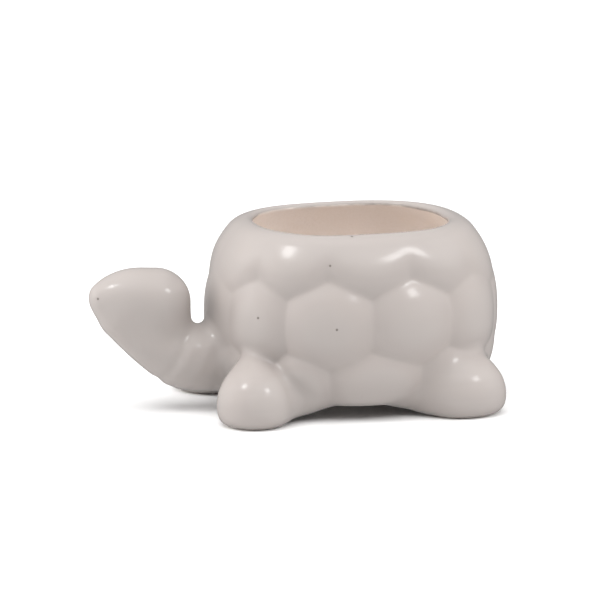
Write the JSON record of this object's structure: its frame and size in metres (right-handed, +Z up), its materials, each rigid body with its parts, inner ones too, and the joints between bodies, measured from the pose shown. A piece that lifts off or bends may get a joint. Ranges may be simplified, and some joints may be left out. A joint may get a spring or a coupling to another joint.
{
  "type": "tortoise planter",
  "caption": "Glazed earthenware planter shaped like a standing tortoise, with an open hollow shell for soil, a drain hole, a raised head and stubby legs.",
  "frame": {"origin": "middle of the overall length and width, on the plane of the soles", "axes": "+X from the head towards the tail, +Y towards the right flank, +Z up"},
  "size_m": [0.167, 0.1038, 0.0745],
  "materials": {
    "glaze": "glossy off-white glaze over earthenware, bare buff clay inside the bowl and under the soles"
  },
  "bodies": {
    "root": {"shell_bowl": "glaze", "head_and_neck": "glaze", "front_left_leg": "glaze", "front_right_leg": "glaze", "rear_left_leg": "glaze", "rear_right_leg": "glaze"}
  },
  "joints": []
}
